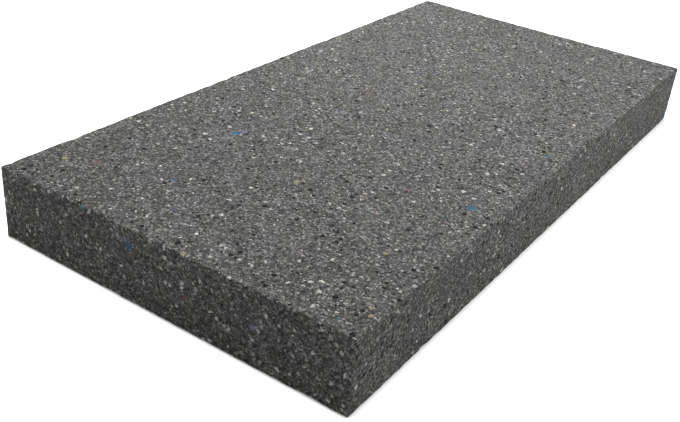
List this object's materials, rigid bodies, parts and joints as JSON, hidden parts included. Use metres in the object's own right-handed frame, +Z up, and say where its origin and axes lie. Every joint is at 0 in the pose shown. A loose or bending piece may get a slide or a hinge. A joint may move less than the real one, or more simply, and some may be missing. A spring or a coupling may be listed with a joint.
{
  "type": "foam insulation board",
  "caption": "Thick rectangular board of rebonded foam flakes with plain sawn faces, laid flat or glued to a wall or floor to insulate against sound and heat.",
  "frame": {"origin": "centre of the underside", "axes": "+X along the length, +Y across the width, +Z up through the thickness, the way the block was pressed"},
  "size_m": [1, 0.5, 0.095],
  "materials": {
    "rebonded_foam": "dull sawn open-cell foam, dark grey flakes with pale, near-black, cream and a few blue ones"
  },
  "bodies": {
    "root": {"foam_board": "rebonded_foam"}
  },
  "joints": []
}
